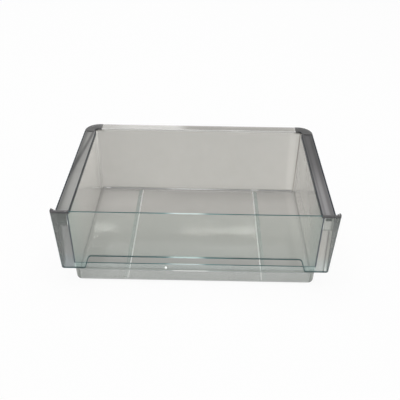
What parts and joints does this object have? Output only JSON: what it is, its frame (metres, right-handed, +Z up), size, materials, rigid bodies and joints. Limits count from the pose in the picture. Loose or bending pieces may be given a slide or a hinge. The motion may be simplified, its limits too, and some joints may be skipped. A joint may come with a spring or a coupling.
{
  "type": "refrigerator drawer",
  "caption": "Clear refrigerator drawer: open moulded tub with a see-through front panel and finger cut-out, grey side rails, rear corner caps and front brackets with small ears.",
  "frame": {"origin": "on the ground in the middle of the drawer's footprint", "axes": "+X to the right along the front panel, +Y from the front panel to the back wall, +Z up"},
  "size_m": [0.47, 0.324, 0.147],
  "materials": {
    "clear_plastic": "clear, polished mould finish, faint smoke tint",
    "clear_panel": "clear, polished, teal tint at the free edges",
    "smoke_grey_plastic": "smoked grey, semi-gloss"
  },
  "bodies": {
    "root": {"tub": "clear_plastic", "front_panel": "clear_panel", "left_rail": "smoke_grey_plastic", "right_rail": "smoke_grey_plastic", "left_rear_corner_cap": "smoke_grey_plastic", "right_rear_corner_cap": "smoke_grey_plastic", "left_front_bracket": "smoke_grey_plastic", "right_front_bracket": "smoke_grey_plastic"}
  },
  "joints": []
}
